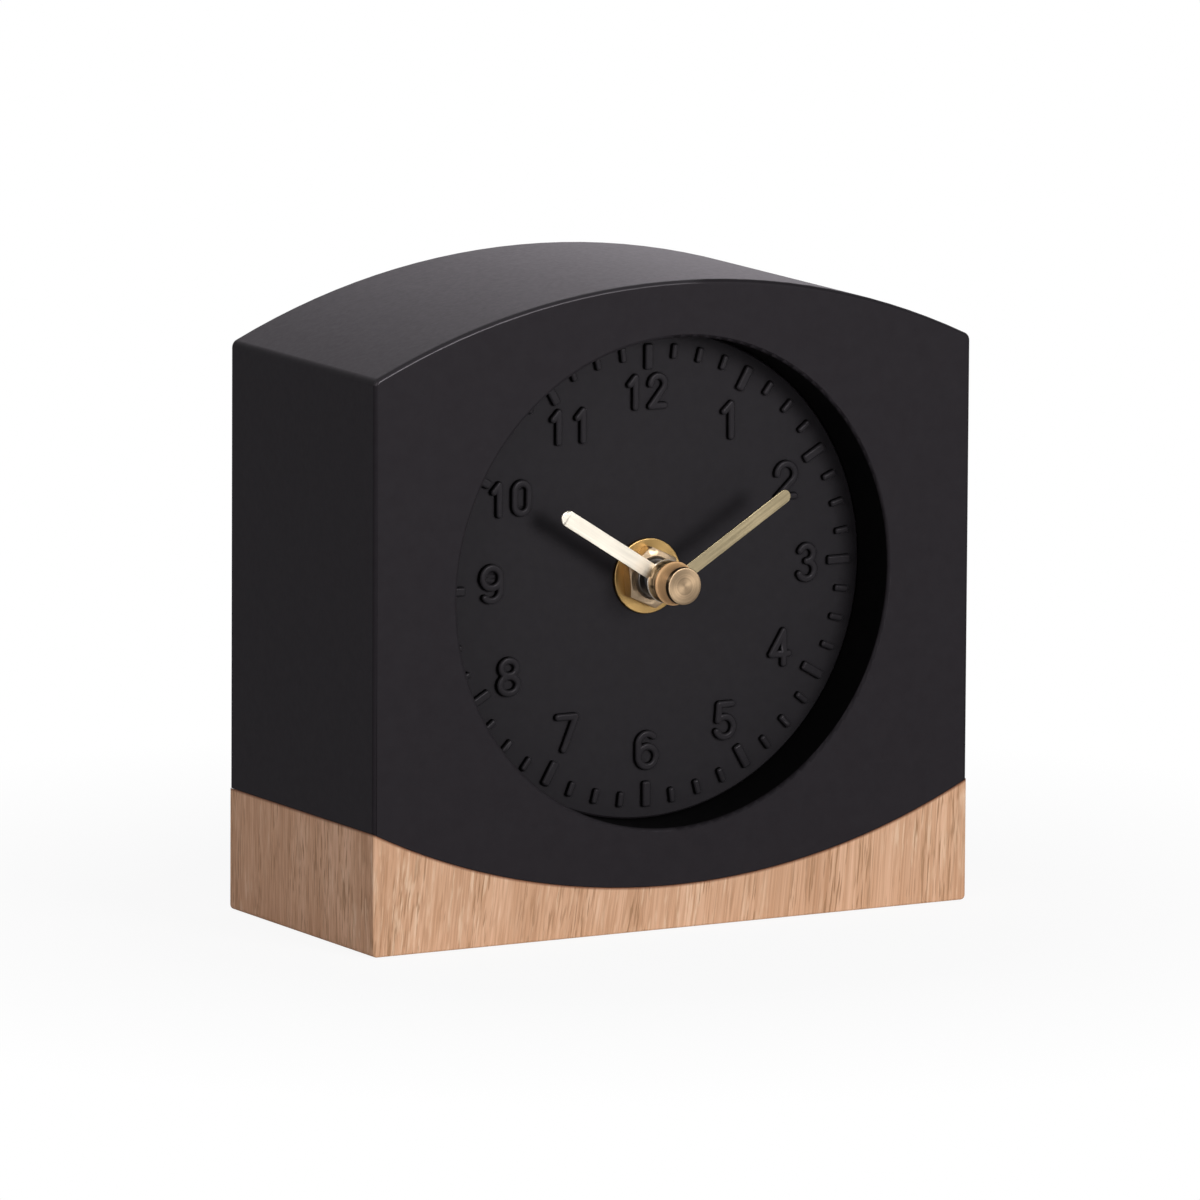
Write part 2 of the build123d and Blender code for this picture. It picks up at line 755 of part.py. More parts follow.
third_wheel = train_wheel(
    third_spot, third_teeth, third_y, third_leaves, third_turn, centre_y, third_bearing_y
)
second_wheel = train_wheel(
    second_spot, second_teeth, second_y, second_leaves, second_turn, third_y, second_bearing_y
)
intermediate_wheel = train_wheel(
    intermediate_spot,
    intermediate_teeth,
    intermediate_y,
    intermediate_leaves,
    intermediate_turn,
    second_y,
    intermediate_bearing_y,
)

magnet_end_y = magnet_y + magnet_thickness
with BuildPart() as rotor_pinion:
    toothed(rotor_teeth, train_module, rotor_turn, rotor_spot, intermediate_y - 0.2, intermediate_y + 0.8)
    disc(rotor_bearing_y - pivot_depth, pivot_end_y, pivot_radius, rotor_spot)

with BuildPart() as rotor_magnet:
    disc(magnet_y, magnet_end_y, magnet_diameter / 2, rotor_spot)
    disc(magnet_y, magnet_end_y, pivot_radius + fit_clearance, rotor_spot, mode=Mode.SUBTRACT)

# Housing and lid of the movement
inner = movement_size / 2 - movement_wall
outer = movement_size / 2
front_bearings = [
    (set_spot, set_bearing_y),
    (third_spot, third_bearing_y),
    (second_spot, second_bearing_y),
    (intermediate_spot, intermediate_bearing_y),
    (rotor_spot, rotor_bearing_y),
]
board_left = 9.0
board_right = inner - 1.3
board_low = train_floor + 1.3
board_high = 12.0
board_posts = [
    (board_right - 2, board_low + 2),
    (board_right - 2, board_high - 2),
    (board_left + 3, board_low + 2),
]
contact_slot = (board_y - 1.5, lid_y)

with BuildPart() as movement_housing:
    with BuildSketch(facing(movement_back_y)):
        RectangleRounded(movement_size, movement_size, movement_corner_radius)
    extrude(amount=movement_depth)
    block((-inner, inner), (floor_y, movement_back_y), (train_floor, inner), Mode.SUBTRACT)
    block((-outer, outer), (lid_y, movement_back_y), (bay_top, outer), Mode.SUBTRACT)
    block((-inner, inner), (floor_y, movement_back_y), (-inner, bay_top), Mode.SUBTRACT)
    block((inner - 1.1, inner), contact_slot, (bay_top, train_floor), Mode.SUBTRACT)
    block((-inner, -inner + 1.1), contact_slot, (bay_top, train_floor), Mode.SUBTRACT)
    disc(movement_front_y, floor_y, bush_radius + running_clearance, mode=Mode.SUBTRACT)
    disc(
        floor_y - bush_flange_thickness,
        floor_y,
        bush_flange_diameter / 2 + running_clearance,
        mode=Mode.SUBTRACT,
    )
    disc(floor_y - movement_wall / 2, cannon_y + motion_wheel_depth + 0.2, post_radius, minute_wheel_spot)
    for spot in board_posts:
        disc(floor_y - movement_wall / 2, board_y, boss_radius, spot)
    for spot, bearing_y in front_bearings:
        disc(floor_y - movement_wall / 2, bearing_y, boss_radius, spot)
        hole_y = max(floor_y, bearing_y - pivot_depth - 0.2)
        disc(hole_y, bearing_y, pivot_hole_radius, spot, mode=Mode.SUBTRACT)

with BuildPart() as movement_lid:
    with BuildSketch(facing(movement_back_y)):
        RectangleRounded(movement_size, movement_size, movement_corner_radius)
    extrude(amount=movement_wall)
    block((-outer, outer), (lid_y, movement_back_y), (-outer, bay_top + joint_clearance), Mode.SUBTRACT)
    rim_x = inner - joint_clearance
    rim_low = train_floor + joint_clearance
    block((-rim_x, rim_x), (lid_y - lid_rim_height, lid_y), (rim_low, rim_x))
    block(
        (lid_rim_thickness - rim_x, rim_x - lid_rim_thickness),
        (lid_y - lid_rim_height, lid_y),
        (rim_low + lid_rim_thickness, rim_x - lid_rim_thickness),
        Mode.SUBTRACT,
    )
    for spot in (centre_spot, third_spot, second_spot, intermediate_spot, rotor_spot):
        disc(rear_bearing_y, lid_y + movement_wall / 2, boss_radius, spot)
    for spot in (third_spot, second_spot, intermediate_spot, rotor_spot):
        disc(rear_bearing_y, pivot_end_y + 0.2, pivot_hole_radius, spot, mode=Mode.SUBTRACT)
    disc(rear_bearing_y, pivot_end_y + 0.2, centre_pivot_radius + running_clearance, mode=Mode.SUBTRACT)
    disc(lid_y, movement_back_y, set_arbor_diameter / 2 + joint_clearance, set_spot, mode=Mode.SUBTRACT)

# Motor: a split stator around the rotor, joined by the core through the coil
pole_radius = stator_bore / 2 + 1.5
stator_low = rotor_spot[1] - 2.25
stator_high = rotor_spot[1] + 2.25
stator_right = inner - 0.3
leg_left = 2.5
leg_width = 3.0
core_z = stator_high + 3.7
core_half = core_width / 2
bobbin_left = leg_left + leg_width + 0.5
bobbin_right = stator_right - leg_width - 0.1
bobbin_y = stator_y - stator_thickness / 2
stator_span = (stator_y, stator_y + stator_thickness)
slit_low = rotor_spot[1] - stator_slit / 2
slit_high = rotor_spot[1] + stator_slit / 2
slit_right = stator_right - leg_width

with BuildPart() as stator_plate:
    disc(stator_span[0], stator_span[1], pole_radius, rotor_spot)
    block((rotor_spot[0], stator_right), stator_span, (stator_low, stator_high))
    block((leg_left, leg_left + leg_width), stator_span, (stator_low, core_z + core_half))
    block((slit_right, stator_right), stator_span, (stator_low, core_z + core_half))
    block((rotor_spot[0], slit_right), stator_span, (slit_low, slit_high), Mode.SUBTRACT)
    block((slit_right - stator_slit, slit_right), stator_span, (slit_low, stator_high), Mode.SUBTRACT)
    disc(stator_span[0], stator_span[1], stator_bore / 2, rotor_spot, mode=Mode.SUBTRACT)
    disc(stator_span[0], stator_span[1], 2.5 * pivot_radius, intermediate_spot, mode=Mode.SUBTRACT)

with BuildPart() as coil_core:
    core_span = (stator_y - stator_thickness, stator_y)
    block((leg_left, stator_right), core_span, (core_z - core_half, core_z + core_half))


def lying(left, right, y, z, radius, mode=Mode.ADD):
    # A round piece that lies across the clock from left to right
    with Locations(Location(((left + right) / 2, y, dial_height + z), (0, 90, 0))):
        Cylinder(radius, right - left, mode=mode)


tube_radius = core_half + 0.5
with BuildPart() as coil_bobbin:
    lying(bobbin_left, bobbin_right, bobbin_y, core_z, tube_radius)
    bobbin_span = (bobbin_y - bobbin_size / 2, bobbin_y + bobbin_size / 2)
    flange_z = (core_z - bobbin_size / 2, core_z + bobbin_size / 2)
    block((bobbin_left, bobbin_left + bobbin_flange), bobbin_span, flange_z)
    block((bobbin_right - bobbin_flange, bobbin_right), bobbin_span, flange_z)
    block(
        (bobbin_left, bobbin_right),
        (stator_y - stator_thickness - running_clearance, stator_y + running_clearance),
        (core_z - core_half - running_clearance, core_z + core_half + running_clearance),
        Mode.SUBTRACT,
    )

with BuildPart() as coil_winding:
    winding_left = bobbin_left + bobbin_flange
    winding_right = bobbin_right - bobbin_flange
    lying(winding_left, winding_right, bobbin_y, core_z, winding_diameter / 2)
    lying(winding_left, winding_right, bobbin_y, core_z, tube_radius + fit_clearance, Mode.SUBTRACT)

# Board with its parts, cell and contacts
with BuildPart() as circuit_board:
    block((board_left, board_right), (board_y, board_y + board_thickness), (board_low, board_high))

with BuildPart() as quartz_crystal:
    crystal_left = board_left + 4
    crystal_y = board_y - crystal_diameter / 2
    lying(crystal_left, crystal_left + crystal_length, crystal_y, board_low + 4, crystal_diameter / 2)

with BuildPart() as control_chip:
    chip_left = board_left + 7
    block((chip_left, chip_left + chip_size), (board_y - chip_thickness, board_y), (4, 4 + chip_size))

cell_radius = cell_diameter / 2
cell_y = floor_y + cell_gap + cell_radius
cell_right = inner - contact_thickness - cell_gap
cell_left = cell_right - cell_length
spring_face = cell_left - cell_gap

with BuildPart() as battery_cell:
    lying(cell_left, cell_right - cell_nub_length, cell_y, cell_height, cell_radius)
    fillet(battery_cell.edges().filter_by(GeomType.CIRCLE), 2 * cell_gap)
    lying(cell_right - cell_nub_length - 0.1, cell_right, cell_y, cell_height, cell_nub_diameter / 2)

tab_span = (board_y - 1.1, board_y + 0.7)
foot_span = (board_y - contact_thickness, board_y)
foot_top = board_low + 1.0
contact_z = (cell_height - 3.5, cell_height + 3.5)
contact_y = (cell_y - 3, cell_y + 3)

with BuildPart() as battery_contact_plus:
    block((inner - contact_thickness, inner), contact_y, contact_z)
    block((inner - contact_thickness, inner), (cell_y, tab_span[1]), (contact_z[1] - 1, contact_z[1] + 1))
    block((inner - contact_thickness, inner), tab_span, (contact_z[1] - 1, foot_top))
    block((board_right - 1, inner), foot_span, (board_low, foot_top))

with BuildPart() as battery_contact_minus:
    block((-inner, contact_thickness - inner), contact_y, contact_z)
    block((-inner, spring_face), contact_y, (contact_z[0] - contact_thickness, contact_z[0]))
    spring_z = (contact_z[0] - contact_thickness, contact_z[1])
    block((spring_face - contact_thickness, spring_face), contact_y, spring_z)
    tab_x = (-inner, contact_thickness - inner)
    block(tab_x, (cell_y, tab_span[1]), (contact_z[1] - 1, contact_z[1] + 1))
    block(tab_x, tab_span, (contact_z[1] - 1, train_floor + contact_thickness))
    strip_z = (train_floor + running_clearance, train_floor + running_clearance + contact_thickness)
    block((-inner, board_left + 2), tab_span, strip_z)
    block((board_left + 1, board_left + 2), foot_span, (strip_z[0], foot_top))

pieces = {
    "case_body": case_body,
    "oak_base": oak_base,
    "base_dowels": base_dowels,
    "base_screws": base_screws,
    "non_slip_pad": non_slip_pad,
    "dial_plate": dial_plate,
    "dial_washer": dial_washer,
    "dial_nut": dial_nut,
    "threaded_bush": threaded_bush,
    "rubber_gasket": rubber_gasket,
    "hour_hand": hour_hand,
    "minute_hand": minute_hand,
    "hand_cap": hand_cap,
    "hour_wheel": hour_wheel,
    "minute_arbor": minute_arbor,
    "centre_wheel": centre_wheel,
    "minute_wheel": minute_wheel,
    "set_arbor": set_arbor,
    "set_knob": set_knob,
    "third_wheel": third_wheel,
    "second_wheel": second_wheel,
    "intermediate_wheel": intermediate_wheel,
    "rotor_pinion": rotor_pinion,
    "rotor_magnet": rotor_magnet,
    "movement_housing": movement_housing,
    "movement_lid": movement_lid,
    "stator_plate": stator_plate,
    "coil_core": coil_core,
    "coil_bobbin": coil_bobbin,
    "coil_winding": coil_winding,
    "circuit_board": circuit_board,
    "quartz_crystal": quartz_crystal,
    "control_chip": control_chip,
    "battery_cell": battery_cell,
    "battery_contact_plus": battery_contact_plus,
    "battery_contact_minus": battery_contact_minus,
}
for label, piece in pieces.items():
    piece.part.label = label
    export_step(piece.part, "parts/" + label + ".step")
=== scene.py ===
import json
import math
from collections import Counter

import bmesh
import bpy
from mathutils import Matrix, Vector

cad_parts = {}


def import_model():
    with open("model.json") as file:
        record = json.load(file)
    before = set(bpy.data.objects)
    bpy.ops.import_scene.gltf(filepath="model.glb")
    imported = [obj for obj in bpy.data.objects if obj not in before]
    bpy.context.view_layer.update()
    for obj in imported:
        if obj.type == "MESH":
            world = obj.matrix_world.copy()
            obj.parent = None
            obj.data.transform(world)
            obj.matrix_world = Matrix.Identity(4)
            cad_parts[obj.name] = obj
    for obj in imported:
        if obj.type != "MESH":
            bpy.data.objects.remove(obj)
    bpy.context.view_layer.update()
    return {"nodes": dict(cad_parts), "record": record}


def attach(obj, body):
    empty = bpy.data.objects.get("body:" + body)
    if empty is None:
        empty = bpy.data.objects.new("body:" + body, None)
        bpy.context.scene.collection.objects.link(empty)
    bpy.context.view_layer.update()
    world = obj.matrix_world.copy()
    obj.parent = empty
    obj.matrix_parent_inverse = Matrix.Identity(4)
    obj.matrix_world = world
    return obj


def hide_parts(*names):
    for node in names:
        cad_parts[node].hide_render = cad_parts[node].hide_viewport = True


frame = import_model()
nodes = frame["nodes"]
bodies = frame["record"]["behaviour"]["bodies"]
body_of_node = {node: body for body, group in bodies.items() for node in group}

# Places on the clock, in millimetres

MM = 0.001
DIAL_Z = 64.2
DIAL_Y = -16.9
FIGURE_STEP = 0.03
RECESS_RADIUS = 45.4
RIM_WIDTH = 0.7
DIAL_RIM_WIDTH = 0.8
ARCH_FROM_RECESS = 2.0
ARCH_LIGHT_END = 4.0
HOUR_BLADE_Y = -24.5
CAP_BUTTON_Y = -30.1
FACE_STEP = 0.02
SEAM_RADIUS = 141.08
SEAM_CENTRE_Z = 149.48
CELL_END = 1.6

# Angles of the hands at rest, in degrees clockwise from twelve

MINUTE_ANGLE = 58.5
HOUR_ANGLE = 302.4

# Limits for the shading of flat and round areas, in metres, square metres and degrees

WELD_STEP = 0.0000015
AXIS_WELD_STEP = 0.0000005
LEVEL_STEP = 0.00001
LEVEL_SHARE = 0.35
LEVEL_COUNT = 20
SAME_PLANE = 0.999995
WIDE_AREA = 3e-6
WIDE_BREADTH = 2.5e-3
TINY_AREA = 0.25e-6
STRONG = 16384
PANEL_AREA = 1e-3
FLAT_ANGLE = 0.4
SHARP_ANGLE = 32

# Floor and background, in metres and shares

FLOOR_REACH = 6.0
SHADOW_START = 0.085
SHADOW_END = 0.19
SHADOW_GLOW = 0.91
FILL_STRENGTH = 0.26
MIRRORED_SHARE = 0.4

WHITE = (1.0, 1.0, 1.0)


# Shader helpers

def material(name):
    """A new material, its node tree and its surface shader."""
    made = bpy.data.materials.new(name)
    made.use_nodes = True
    tree = made.node_tree
    return made, tree, tree.nodes["Principled BSDF"]


def value(socket, amount):
    """A constant on a shader's own socket."""
    socket.default_value = amount


def coords(tree, scale=(1, 1, 1), turn=(0, 0, 0), shift=(0, 0, 0)):
    """Object coordinates, turned and scaled."""
    source = tree.nodes.new("ShaderNodeTexCoord")
    place = tree.nodes.new("ShaderNodeMapping")
    place.inputs["Scale"].default_value = scale
    place.inputs["Rotation"].default_value = turn
    place.inputs["Location"].default_value = shift
    tree.links.new(source.outputs["Object"], place.inputs["Vector"])
    return place.outputs["Vector"]


def noise(tree, vector, scale, detail=3.0, rough=0.5):
    """Cloudy values around a half, finer with a larger scale."""
    made = tree.nodes.new("ShaderNodeTexNoise")
    made.inputs["Scale"].default_value = scale
    made.inputs["Detail"].default_value = detail
    made.inputs["Roughness"].default_value = rough
    tree.links.new(vector, made.inputs["Vector"])
    return made.outputs["Fac"]


def ramp(tree, fac, stops):
    """Colours along a value: stops are (position, (r, g, b))."""
    made = tree.nodes.new("ShaderNodeValToRGB")
    band = made.color_ramp
    while len(band.elements) < len(stops):
        band.elements.new(0.5)
    for element, (position, colour) in zip(band.elements, stops):
        element.position = position
        element.color = (*colour, 1.0)
    tree.links.new(fac, made.inputs["Fac"])
    return made.outputs["Color"]


def spread(tree, fac, low, high, start=0.0, end=1.0):
    """A value stretched from start..end to low..high."""
    made = tree.nodes.new("ShaderNodeMapRange")
    made.inputs["From Min"].default_value = start
    made.inputs["From Max"].default_value = end
    made.inputs["To Min"].default_value = low
    made.inputs["To Max"].default_value = high
    tree.links.new(fac, made.inputs["Value"])
    return made.outputs["Result"]


def blend(tree, fac, first, second, kind="MIX"):
    """Two colours mixed by a value."""
    made = tree.nodes.new("ShaderNodeMix")
    made.data_type = "RGBA"
    made.blend_type = kind
    for name, source in (("Factor", fac), ("A", first), ("B", second)):
        plug(tree, made, made.inputs[name], source)
    return made.outputs["Result"]


def plug(tree, made, socket, source):
    """Links a source, or sets a constant, on the colour sockets of a mix node."""
    if socket.name in ("A", "B"):
        socket = [s for s in made.inputs if s.name == socket.name and s.type == "RGBA"][0]
    if isinstance(source, tuple):
        socket.default_value = (*source, 1.0)
    elif isinstance(source, float):
        socket.default_value = source
    else:
        tree.links.new(source, socket)


def sums(tree, kind, first, second):
    """One arithmetic step on two values."""
    made = tree.nodes.new("ShaderNodeMath")
    made.operation = kind
    for socket, source in zip(made.inputs, (first, second)):
        if isinstance(source, (int, float)):
            socket.default_value = source
        else:
            tree.links.new(source, socket)
    return made.outputs[0]


def split(tree, vector):
    """The three parts of a vector."""
    made = tree.nodes.new("ShaderNodeSeparateXYZ")
    tree.links.new(vector, made.inputs[0])
    return made.outputs


def joined(tree, *parts):
    """A vector from its parts: a part that isn't given is nought."""
    made = tree.nodes.new("ShaderNodeCombineXYZ")
    for socket, source in zip(made.inputs, parts):
        tree.links.new(source, socket)
    return made.outputs[0]


def reach_from(tree, x, z, centre_z):
    """Distance from an axis along Y, whose height is given in millimetres."""
    rise = sums(tree, "SUBTRACT", z, centre_z * MM)
    square = sums(tree, "ADD", sums(tree, "MULTIPLY", x, x), sums(tree, "MULTIPLY", rise, rise))
    return sums(tree, "SQRT", square, 0.0)


def camera_share(tree, path):
    """One for rays that come from the camera, straight or through glass, and nought for others."""
    return sums(tree, "MAXIMUM", path["Is Camera Ray"], path["Is Transmission Ray"])


def stretched(tree, vector, scale, shift=(0, 0, 0)):
    """A vector scaled and moved."""
    place = tree.nodes.new("ShaderNodeMapping")
    place.inputs["Scale"].default_value = scale
    place.inputs["Location"].default_value = shift
    tree.links.new(vector, place.inputs["Vector"])
    return place.outputs["Vector"]


def bump(tree, shader, height, strength, distance, before=None):
    """A fine relief on a shader, on top of the relief before it."""
    made = tree.nodes.new("ShaderNodeBump")
    made.inputs["Strength"].default_value = strength
    made.inputs["Distance"].default_value = distance
    tree.links.new(height, made.inputs["Height"])
    if before is not None:
        tree.links.new(before, made.inputs["Normal"])
    tree.links.new(made.outputs["Normal"], shader.inputs["Normal"])
    return made.outputs["Normal"]


# Materials

def lacquer(name, dark, light, rough_low, rough_high, grain, gloss=0.065):
    """Sprayed matt black: cloudy tone and a fine orange-peel surface."""
    made, tree, shader = material(name)
    cloud = noise(tree, coords(tree), 420.0, 5.0, 0.65)
    tree.links.new(ramp(tree, cloud, [(0.3, dark), (0.7, light)]), shader.inputs["Base Color"])
    haze = noise(tree, coords(tree, shift=(0.2, 0.5, 0.1)), 900.0, 4.0, 0.6)
    tree.links.new(spread(tree, haze, rough_low, rough_high, 0.3, 0.7), shader.inputs["Roughness"])
    peel = noise(tree, coords(tree), grain, 2.0, 0.6)
    bump(tree, shader, peel, 0.16, 0.00006)
    value(shader.inputs["Specular IOR Level"], gloss)
    value(shader.inputs["Specular Tint"], (1.0, 0.93, 1.0, 1.0))
    return made


def oak_wood():
    """Light oak: upright leaning grain with fine fibre, short dark pores and pale flecks."""
    made, tree, shader = material("light_oak")
    source = tree.nodes.new("ShaderNodeTexCoord").outputs["Object"]
    x, y, z = split(tree, source)
    wave = noise(tree, stretched(tree, source, (1, 1, 0.5)), 26.0, 2.0, 0.5)
    sway = sums(tree, "MULTIPLY", sums(tree, "SUBTRACT", wave, 0.5), 0.0035)
    lean = sums(tree, "SUBTRACT", 0.14, sums(tree, "MULTIPLY", sums(tree, "MULTIPLY", x, x), 22.0))
    tilt = sums(tree, "MULTIPLY", lean, z)
    across = sums(tree, "ADD", sums(tree, "SUBTRACT", x, tilt), sway)
    deep = sums(tree, "ADD", sums(tree, "SUBTRACT", y, sums(tree, "MULTIPLY", z, 0.02)), sway)
    grain = joined(tree, across, deep, z)
    broad = noise(tree, stretched(tree, grain, (1, 1, 0.08)), 150.0, 4.0, 0.55)
    heartwood, middle, pale = (0.545, 0.318, 0.192), (0.630, 0.383, 0.243), (0.70, 0.443, 0.295)
    tone = ramp(tree, broad, [(0.3, heartwood), (0.5, middle), (0.7, pale)])
    streak = noise(tree, stretched(tree, grain, (1, 1, 0.014), (0.2, 0.6, 0.0)), 980.0, 2.0, 0.5)
    streak_tone = ramp(tree, streak, [(0.38, (0.88, 0.83, 0.76)), (0.60, WHITE)])
    tone = blend(tree, 0.6, tone, streak_tone, "MULTIPLY")
    fibre = noise(tree, stretched(tree, grain, (1, 1, 0.011)), 2600.0, 2.0, 0.55)
    fibre_tone = ramp(tree, fibre, [(0.40, (0.70, 0.62, 0.52)), (0.56, WHITE)])
    tone = blend(tree, 0.55, tone, fibre_tone, "MULTIPLY")
    cluster = noise(tree, stretched(tree, grain, (1, 1, 0.35), (0.5, 0.2, 0.9)), 85.0, 2.0, 0.5)
    fleck = noise(tree, stretched(tree, grain, (1, 1, 0.10), (0.9, 0.4, 0.2)), 1150.0, 3.0, 0.55)
    fleck_gate = spread(tree, cluster, 0.15, 1.0, 0.42, 0.58)
    fleck_line = sums(tree, "MULTIPLY", spread(tree, fleck, 0.0, 0.55, 0.54, 0.66), fleck_gate)
    tone = blend(tree, fleck_line, tone, (0.76, 0.55, 0.385))
    pore = noise(tree, stretched(tree, grain, (1, 1, 0.05), (0.3, 0.1, 0.0)), 2900.0, 2.0, 0.45)
    patch = noise(tree, stretched(tree, grain, (1, 1, 0.12), (0.0, 0.7, 0.0)), 210.0, 2.0, 0.5)
    gate = sums(tree, "MULTIPLY", spread(tree, patch, 0.12, 1.0, 0.42, 0.58), 0.95)
    pore_line = sums(tree, "MULTIPLY", spread(tree, pore, 0.0, 1.0, 0.55, 0.64), gate)
    tone = blend(tree, pore_line, tone, (0.34, 0.188, 0.096))
    below = sums(tree, "SUBTRACT", reach_from(tree, x, z, SEAM_CENTRE_Z), SEAM_RADIUS * MM)
    tone = blend(tree, spread(tree, below, 0.92, 0.0, 0.00015, 0.0006), tone, (0.13, 0.042, 0.016))
    tree.links.new(tone, shader.inputs["Base Color"])
    tree.links.new(spread(tree, fibre, 0.50, 0.66), shader.inputs["Roughness"])
    value(shader.inputs["Specular IOR Level"], 0.22)
    first = bump(tree, shader, fibre, 0.14, 0.00006)
    sunk = spread(tree, pore_line, 1.0, 0.0)
    bump(tree, shader, sunk, 0.4, 0.0001, first)
    return made


def brass(name, colour, rough_low, rough_high, stretch, turn=0.0, depth=0.10, tint=0.86):
    """Brass with fine drawn lines along one direction."""
    made, tree, shader = material(name)
    line = noise(tree, stretched(tree, coords(tree, (1, 1, 1), (0, -turn, 0)), stretch), 3200.0, 3.0, 0.6)
    stain = noise(tree, coords(tree), 190.0, 3.0, 0.5)
    shade = tuple(tint * c for c in colour)
    worn = sums(tree, "ADD", sums(tree, "MULTIPLY", line, 0.6), sums(tree, "MULTIPLY", stain, 0.4))
    tree.links.new(ramp(tree, worn, [(0.36, shade), (0.60, colour)]), shader.inputs["Base Color"])
    value(shader.inputs["Metallic"], 1.0)
    tree.links.new(spread(tree, line, rough_low, rough_high), shader.inputs["Roughness"])
    bump(tree, shader, line, depth, 0.00002)
    return made


def turned_brass(
        name, colour, rough_low, rough_high, depth=0.12, tint=0.84, pitch=5200.0, sweep=0.55, bright=1.0):
    """Brass turned on a lathe: fine rings around the dial's axis."""
    made, tree, shader = material(name)
    x, y, z = split(tree, tree.nodes.new("ShaderNodeTexCoord").outputs["Object"])
    rings = noise(tree, joined(tree, reach_from(tree, x, z, DIAL_Z), y), pitch, 4.0, 0.6)
    tone = ramp(tree, rings, [(0.32, tuple(tint * c for c in colour)), (0.66, colour)])
    tree.links.new(tone, shader.inputs["Base Color"])
    value(shader.inputs["Metallic"], bright)
    value(shader.inputs["Anisotropic"], sweep)
    tree.links.new(spread(tree, rings, rough_low, rough_high), shader.inputs["Roughness"])
    around = tree.nodes.new("ShaderNodeTangent")
    around.direction_type = "RADIAL"
    around.axis = "Y"
    tree.links.new(around.outputs[0], shader.inputs["Tangent"])
    bump(tree, shader, rings, depth, 0.00003)
    return made


def plastic(name, colour, rough, grain=1800.0, depth=0.12, tint=0.82, gloss=0.4):
    """Moulded plastic with a fine eroded texture."""
    made, tree, shader = material(name)
    cloud = noise(tree, coords(tree), 120.0, 3.0, 0.5)
    shade = tuple(tint * c for c in colour)
    tree.links.new(ramp(tree, cloud, [(0.3, shade), (0.7, colour)]), shader.inputs["Base Color"])
    skin = noise(tree, coords(tree), grain, 2.0, 0.6)
    tree.links.new(spread(tree, skin, rough - 0.06, rough + 0.08), shader.inputs["Roughness"])
    value(shader.inputs["Specular IOR Level"], gloss)
    bump(tree, shader, skin, depth, 0.00005)
    return made


def metal(name, colour, rough, stretch=(1, 1, 1), tint=0.85):
    """Plain metal with faint drawn lines."""
    made, tree, shader = material(name)
    line = noise(tree, coords(tree, stretch), 1800.0, 3.0, 0.6)
    cloud = noise(tree, coords(tree), 200.0, 3.0, 0.5)
    shade = tuple(tint * c for c in colour)
    tree.links.new(ramp(tree, cloud, [(0.3, shade), (0.7, colour)]), shader.inputs["Base Color"])
    value(shader.inputs["Metallic"], 1.0)
    tree.links.new(spread(tree, line, rough - 0.08, rough + 0.10), shader.inputs["Roughness"])
    bump(tree, shader, line, 0.03, 0.00002)
    return made


black = lacquer("black_lacquer", (0.0141, 0.0122, 0.0142), (0.0164, 0.0145, 0.0167), 0.42, 0.47, 1500.0)
figure_black = lacquer(
    "figure_black", (0.0140, 0.0128, 0.0144), (0.0160, 0.0148, 0.0166), 0.28, 0.34, 1900.0, 0.10)
dial_black = lacquer("dial_black", (0.0150, 0.0138, 0.0154), (0.0172, 0.0160, 0.0178), 0.38, 0.43, 1900.0)
rim_black = lacquer("rim_black", (0.0150, 0.0132, 0.0152), (0.0172, 0.0154, 0.0176), 0.30, 0.36, 1500.0, 0.30)
soft_rim = lacquer("soft_rim", (0.0150, 0.0132, 0.0152), (0.0172, 0.0154, 0.0176), 0.44, 0.52, 1500.0, 0.04)
# Painted shade: a much darker black that stands in for the shade falling on the recess wall and on the sides
# of the raised figures
painted_shade_black = lacquer(
    "painted_shade_black", (0.0022, 0.0021, 0.0022), (0.0030, 0.0029, 0.0030), 0.50, 0.56, 1500.0, 0.03)
oak = oak_wood()
minute_turn = math.radians(MINUTE_ANGLE)
hour_turn = math.radians(HOUR_ANGLE)
# Painted highlight: the hour hand's brass is much paler than the minute hand's, standing in for the key light
# it catches
hour_brass = brass("hour_brass", (0.74, 0.685, 0.585), 0.26, 0.38, (1, 1, 0.03), hour_turn, tint=0.86)
collet_brass = turned_brass("collet_brass", (0.50, 0.345, 0.19), 0.34, 0.46)
# Painted shade: the minute hand's brass is darker, standing in for the light it misses compared with the hour
# hand
minute_brass = brass("minute_brass", (0.30, 0.246, 0.150), 0.28, 0.42, (1, 1, 0.03), minute_turn, tint=0.66)
washer_brass = turned_brass("washer_brass", (0.48, 0.305, 0.115), 0.24, 0.34)
nut_brass = brass("nut_brass", (0.56, 0.415, 0.27), 0.32, 0.44, (1, 1, 1))
cap_brass = turned_brass("cap_brass", (0.33, 0.235, 0.145), 0.30, 0.42, 0.3, 0.66, 3600.0, 0.45)
# Painted reflection: a much lighter, less metallic copy of the cap's brass, standing in for the bright hand
# and lamps the neck reflects
neck_painted_reflection = turned_brass("neck_painted_reflection", (0.95, 0.58, 0.28), 0.40, 0.54, bright=0.4)
bush_metal = metal("bush_metal", (0.24, 0.22, 0.20), 0.32)
steel = metal("bright_steel", (0.62, 0.61, 0.59), 0.30)
nickel = metal("nickel_strip", (0.74, 0.72, 0.68), 0.26)
copper = metal("copper_wire", (0.72, 0.33, 0.15), 0.30, (8, 1, 1))
ferrite = plastic("ferrite", (0.10, 0.10, 0.11), 0.5)
pipe_plastic = plastic("pipe_plastic", (0.035, 0.035, 0.037), 0.38)
housing_plastic = plastic("housing_plastic", (0.030, 0.030, 0.032), 0.46)
knob_plastic = plastic("knob_plastic", (0.045, 0.045, 0.048), 0.40)
wheel_plastic = plastic("wheel_plastic", (0.82, 0.80, 0.74), 0.35, tint=0.92)
